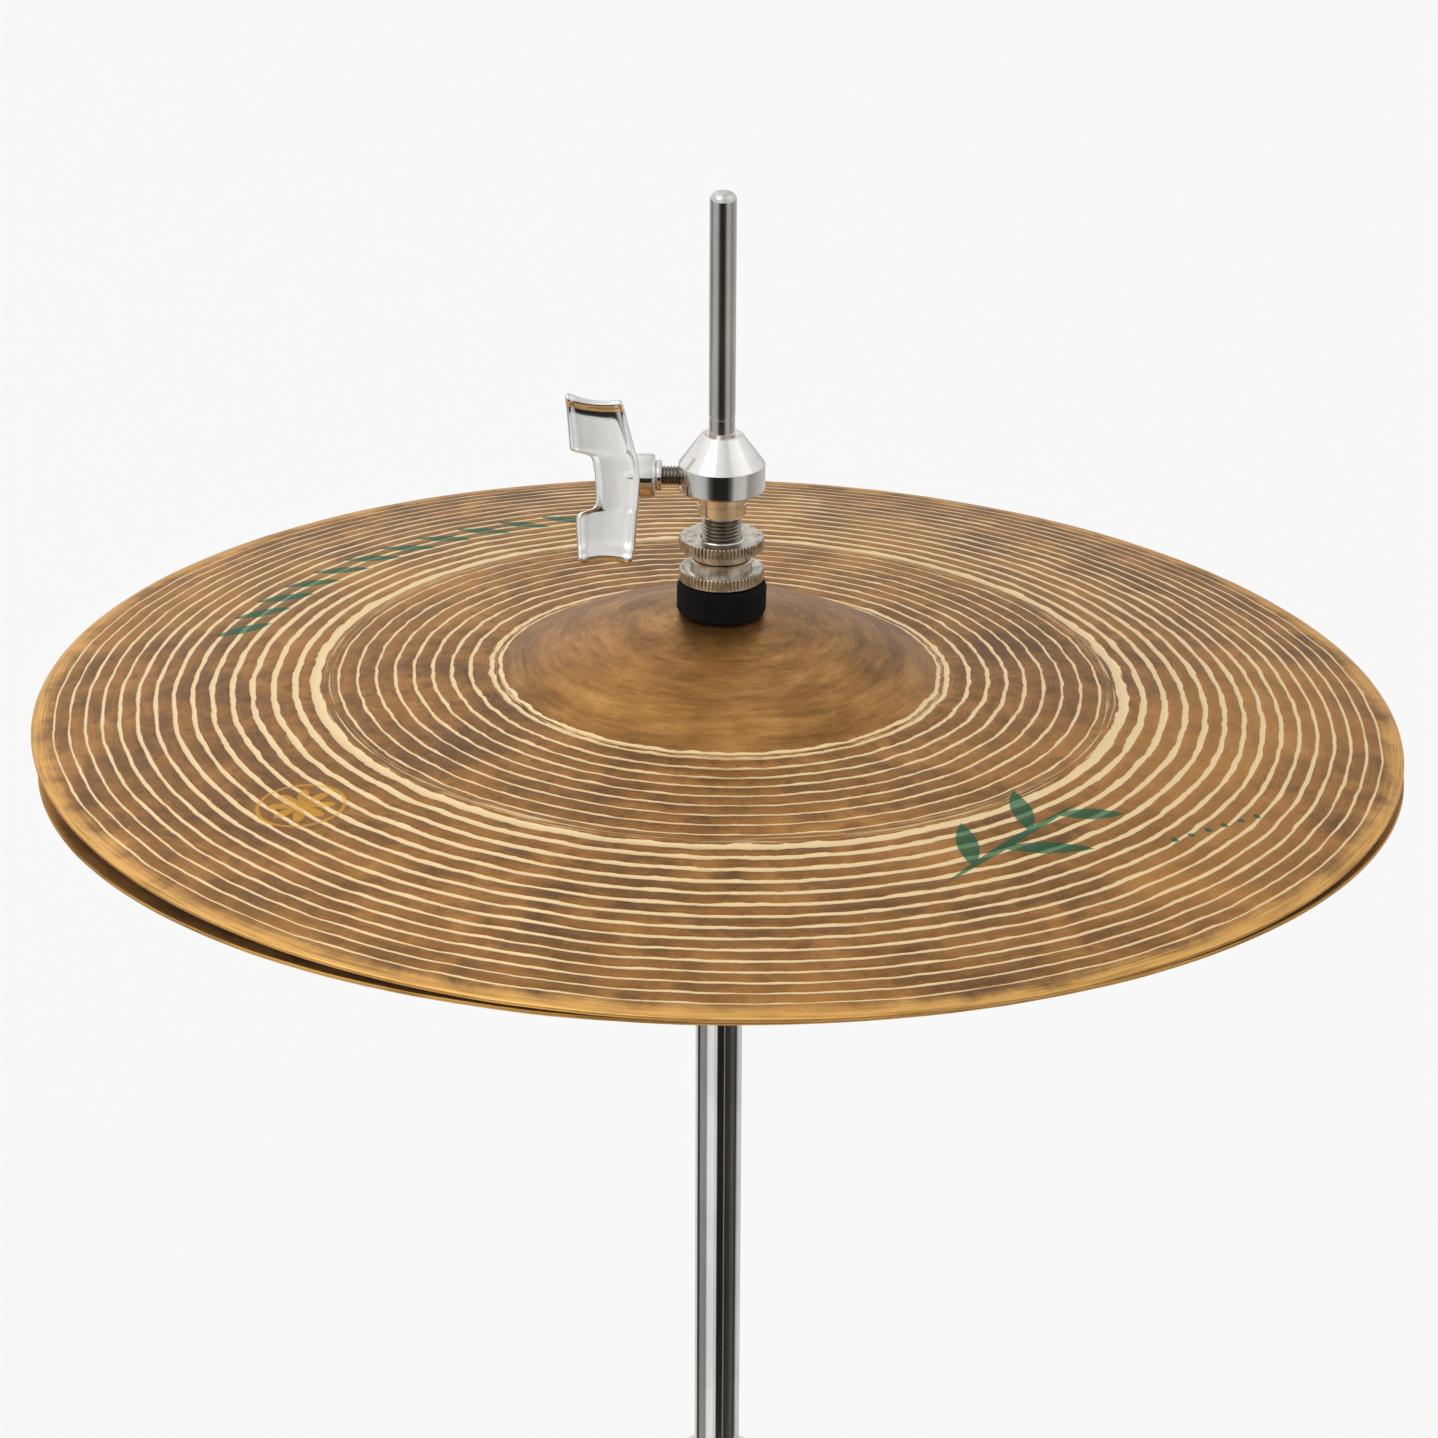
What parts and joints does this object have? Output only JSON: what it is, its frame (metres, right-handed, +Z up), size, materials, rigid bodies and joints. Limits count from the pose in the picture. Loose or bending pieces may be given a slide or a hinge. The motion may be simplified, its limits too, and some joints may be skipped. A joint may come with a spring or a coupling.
{
  "type": "hi hat",
  "caption": "Pair of lathed bronze cymbals on a folding pedal stand: a clutch on a sprung pull rod opens and closes them.",
  "frame": {"origin": "on the floor under the tube axis, centre of the underside of the base pad", "axes": "+Z up along the tube and pull rod, -Y towards the pedal and the player, -X towards the clutch's wing screw"},
  "size_m": [0.6174, 0.739, 0.9882],
  "materials": {
    "bronze": "hand-hammered, lathed and lacquered",
    "chrome": "polished chrome plate",
    "nickel": "satin nickel with straight knurls",
    "rod_steel": "drawn and plated",
    "felt": "pressed wool felt",
    "nylon": "moulded",
    "rubber": "moulded",
    "alloy": "die cast, polished edges",
    "spring_steel": "coiled wire"
  },
  "bodies": {
    "stand": {"lower_tube": "chrome", "tube_clamp": "chrome", "tube_bush": "nylon", "base_hub": "alloy", "brace_pivot_pins": "nickel", "base_posts": "chrome", "base_plate": "alloy", "base_pad": "rubber", "radius_rods": "chrome", "heel_plate": "alloy", "heel_pad": "rubber", "heel_hinge_pin": "rod_steel", "rod_guide": "nylon", "spring_seat": "rod_steel", "return_spring": "spring_steel"},
    "pull_rod": {"upper_pull_rod": "rod_steel", "lower_pull_rod": "rod_steel", "rod_coupler": "rod_steel", "rod_clevis": "rod_steel", "rod_clevis_pin": "rod_steel", "spring_collar": "rod_steel"},
    "chain": {"chain_links": "nickel", "chain_rollers": "rod_steel"},
    "pedal": {"footboard": "alloy", "toe_bracket": "alloy", "toe_pin": "rod_steel"},
    "clutch": {"clutch_body": "chrome"},
    "wing_screw": {"clutch_wing_screw": "chrome"},
    "lock_nut": {"clutch_lock_nut": "nickel"},
    "clamp_nut": {"clutch_clamp_nut": "nickel"},
    "bottom_nut": {"clutch_bottom_nut": "nickel"},
    "clutch_felts": {"upper_clutch_felt": "felt", "lower_clutch_felt": "felt"},
    "top_cymbal": {"top_cymbal": "bronze"},
    "inner_tube": {"upper_tube": "chrome", "memory_lock": "chrome", "seat_base": "chrome"},
    "lock_bolt": {"memory_lock_bolt": "nickel"},
    "tilter": {"tilt_plate": "chrome", "seat_cup": "nylon", "seat_felt": "felt"},
    "tilter_screw": {"tilter_screw": "nickel"},
    "bottom_cymbal": {"bottom_cymbal": "bronze"},
    "clamp_bolt": {"clamp_wing_bolt": "chrome"},
    "leg_slider": {"leg_collar": "chrome", "leg_pivot_pins": "nickel"},
    "slider_bolt": {"collar_wing_bolt": "chrome"},
    "leg_arm_back": {"leg_back": "chrome", "leg_rivets_back": "nickel", "foot_back": "rubber"},
    "brace_arm_back": {"brace_back": "chrome"},
    "leg_arm_left": {"leg_left": "chrome", "leg_rivets_left": "nickel", "foot_left": "rubber"},
    "brace_arm_left": {"brace_left": "chrome"},
    "leg_arm_right": {"leg_right": "chrome", "leg_rivets_right": "nickel", "foot_right": "rubber"},
    "brace_arm_right": {"brace_right": "chrome"}
  },
  "joints": [
    {"name": "rod_slide", "type": "slide", "parent": "stand", "child": "pull_rod", "axis": [0, 0, 1], "range_m": [0, 0.03], "stiffness_N_per_m": 100, "springref_m": 0.1, "deforming": ["return_spring"]},
    {"name": "pedal_hinge", "type": "hinge", "parent": "stand", "child": "pedal", "pos_m": [0, -0.3, 0.022], "axis": [1, 0, 0], "range_deg": [0, 6]},
    {"name": "chain_swing", "type": "hinge", "parent": "pull_rod", "child": "chain", "pos_m": [0, 0, 0.1258], "axis": [1, 0, 0], "range_deg": [-8, 0]},
    {"name": "clutch_slide", "type": "slide", "parent": "pull_rod", "child": "clutch", "axis": [0, 0, 1], "range_m": [0, 0.04]},
    {"name": "wing_screw_turn", "type": "hinge", "parent": "clutch", "child": "wing_screw", "pos_m": [0, 0, 0.9135], "axis": [-1, 0, 0], "range_deg": [0, 720]},
    {"name": "lock_nut_turn", "type": "hinge", "parent": "clutch", "child": "lock_nut", "pos_m": [0, 0, 0.8957], "axis": [0, 0, 1], "range_deg": [0, 720]},
    {"name": "clamp_nut_turn", "type": "hinge", "parent": "clutch", "child": "clamp_nut", "pos_m": [0, 0, 0.8875], "axis": [0, 0, 1], "range_deg": [0, 360]},
    {"name": "bottom_nut_turn", "type": "hinge", "parent": "clutch", "child": "bottom_nut", "pos_m": [0, 0, 0.8675], "axis": [0, 0, 1], "range_deg": [-720, 0]},
    {"name": "top_cymbal_rock", "type": "hinge", "parent": "clutch", "child": "clutch_felts", "pos_m": [0, 0, 0.87575], "axis": [0, 1, 0], "range_deg": [-0.8, 0.2]},
    {"name": "top_cymbal_spin", "type": "hinge", "parent": "clutch_felts", "child": "top_cymbal", "pos_m": [0, 0, 0.87575], "axis": [0.0192, 0, 0.9998], "continuous": true},
    {"name": "tube_height", "type": "slide", "parent": "stand", "child": "inner_tube", "axis": [0, 0, 1], "range_m": [-0.048, 0]},
    {"name": "lock_bolt_turn", "type": "hinge", "parent": "inner_tube", "child": "lock_bolt", "pos_m": [0, 0, 0.61], "axis": [1, 0, 0], "range_deg": [0, 720]},
    {"name": "bottom_cymbal_tilt", "type": "hinge", "parent": "inner_tube", "child": "tilter", "pos_m": [0, 0, 0.7967], "axis": [-0.9945, 0.1045, 0], "range_deg": [-2.65, 0]},
    {"name": "tilter_screw_turn", "type": "hinge", "parent": "inner_tube", "child": "tilter_screw", "pos_m": [-0.00188, -0.0179, 0.7807], "axis": [0, 0, 1], "range_deg": [-200, 0]},
    {"name": "bottom_cymbal_spin", "type": "hinge", "parent": "tilter", "child": "bottom_cymbal", "pos_m": [0, 0, 0.7967], "axis": [0.0048, 0.046, 0.9989], "continuous": true},
    {"name": "clamp_bolt_turn", "type": "hinge", "parent": "stand", "child": "clamp_bolt", "pos_m": [0.0205, 0, 0.5325], "axis": [0, -1, 0], "range_deg": [0, 360]},
    {"name": "leg_collar_slide", "type": "slide", "parent": "stand", "child": "leg_slider", "axis": [0, 0, 1], "range_m": [0, 0.14]},
    {"name": "collar_bolt_turn", "type": "hinge", "parent": "leg_slider", "child": "slider_bolt", "pos_m": [0, 0, 0.31], "axis": [0, -1, 0], "range_deg": [0, 360]},
    {"name": "leg_hinge_back", "type": "hinge", "parent": "leg_slider", "child": "leg_arm_back", "pos_m": [0, 0.026, 0.31], "axis": [-1, 0, 0], "range_deg": [0, 23.7]},
    {"name": "brace_hinge_back", "type": "hinge", "parent": "stand", "child": "brace_arm_back", "pos_m": [0, 0.026, 0.165], "axis": [-1, 0, 0], "range_deg": [-52, 0]},
    {"name": "leg_hinge_left", "type": "hinge", "parent": "leg_slider", "child": "leg_arm_left", "pos_m": [-0.02252, -0.013, 0.31], "axis": [0.5, -0.866, 0], "range_deg": [0, 23.7]},
    {"name": "brace_hinge_left", "type": "hinge", "parent": "stand", "child": "brace_arm_left", "pos_m": [-0.02252, -0.013, 0.165], "axis": [0.5, -0.866, 0], "range_deg": [-52, 0]},
    {"name": "leg_hinge_right", "type": "hinge", "parent": "leg_slider", "child": "leg_arm_right", "pos_m": [0.02252, -0.013, 0.31], "axis": [0.5, 0.866, 0], "range_deg": [0, 23.7]},
    {"name": "brace_hinge_right", "type": "hinge", "parent": "stand", "child": "brace_arm_right", "pos_m": [0.02252, -0.013, 0.165], "axis": [0.5, 0.866, 0], "range_deg": [-52, 0]}
  ],
  "couplings": [
    {"joint": "pedal_hinge", "follows": "rod_slide", "rad_per_m": 3.3688},
    {"joint": "chain_swing", "follows": "rod_slide", "rad_per_m": -4.5206},
    {"joint": "tilter_screw_turn", "follows": "bottom_cymbal_tilt", "ratio": 75.398},
    {"joint": "leg_hinge_back", "follows": "leg_collar_slide", "rad_per_m": 2.9358},
    {"joint": "brace_hinge_back", "follows": "leg_collar_slide", "rad_per_m": -6.4674},
    {"joint": "leg_hinge_left", "follows": "leg_collar_slide", "rad_per_m": 2.9358},
    {"joint": "brace_hinge_left", "follows": "leg_collar_slide", "rad_per_m": -6.4674},
    {"joint": "leg_hinge_right", "follows": "leg_collar_slide", "rad_per_m": 2.9358},
    {"joint": "brace_hinge_right", "follows": "leg_collar_slide", "rad_per_m": -6.4674}
  ]
}
